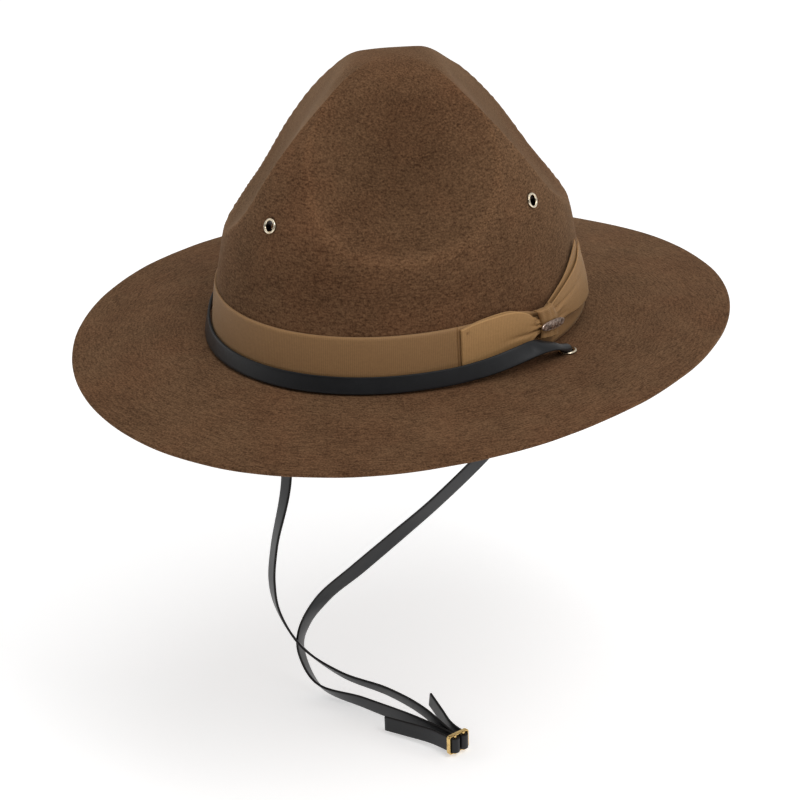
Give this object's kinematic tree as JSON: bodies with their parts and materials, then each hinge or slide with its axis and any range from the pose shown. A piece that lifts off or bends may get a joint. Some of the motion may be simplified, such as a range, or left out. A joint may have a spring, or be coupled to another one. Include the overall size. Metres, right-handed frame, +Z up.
{
  "type": "campaign hat",
  "caption": "Felt campaign hat with a pinched crown, wide curved brim, ribbon band with side bow, vent eyelets and a long leather chin strap with a small buckle.",
  "frame": {"origin": "middle of the head opening, level with the break between crown and brim, where the hat sits on a head", "axes": "+Z up through the crown, -Y the front of the hat, +X the wearer's left, which is the bow side"},
  "size_m": [0.3248, 0.3551, 0.3722],
  "materials": {
    "felt": "brushed fur felt, dark brown",
    "ribbon": "ribbed grosgrain ribbon, khaki brown",
    "leather": "smooth black leather with dark cut edges",
    "brass": "bright brass",
    "pewter": "dull bronzed metal"
  },
  "bodies": {
    "root": {"felt_body": "felt", "hat_band": "ribbon", "bow_front_wing": "ribbon", "bow_rear_wing": "ribbon", "bow_knot": "ribbon", "pin_plate": "pewter", "vent_eyelet_front": "brass", "vent_eyelet_left": "brass", "vent_eyelet_back": "brass", "vent_eyelet_right": "brass", "brim_eyelet_left": "brass", "brim_eyelet_right": "brass", "chin_strap": "leather", "buckle_frame": "brass"}
  },
  "joints": []
}
